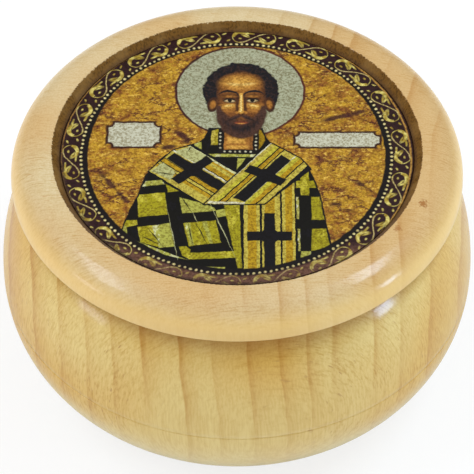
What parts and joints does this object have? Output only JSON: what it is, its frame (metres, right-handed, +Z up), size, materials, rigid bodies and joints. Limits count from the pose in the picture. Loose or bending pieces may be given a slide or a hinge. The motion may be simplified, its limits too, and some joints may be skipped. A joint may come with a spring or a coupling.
{
  "type": "incense box",
  "caption": "Round turned wooden incense box: a full-bellied bowl, a lift-off lid with a spigot, and a round printed picture let into a dark-walled recess in the lid.",
  "frame": {"origin": "centre of the flat base, on the surface the box stands on", "axes": "+Z up along the turning axis; -Y is the front, where the foot of the picture points; +X is the viewer's right"},
  "size_m": [0.075, 0.075, 0.0426],
  "materials": {
    "beech": "clear satin lacquer over turned beech, burnt dark brown in the lid's recess",
    "print": "printed picture under a satin film"
  },
  "bodies": {
    "box": {"bowl": "beech"},
    "cover": {"lid": "beech", "picture_disc": "print"}
  },
  "joints": [
    {"name": "lid_lift", "type": "slide", "parent": "box", "child": "cover", "axis": [0, 0, 1], "range_m": [0, 0.06]}
  ]
}
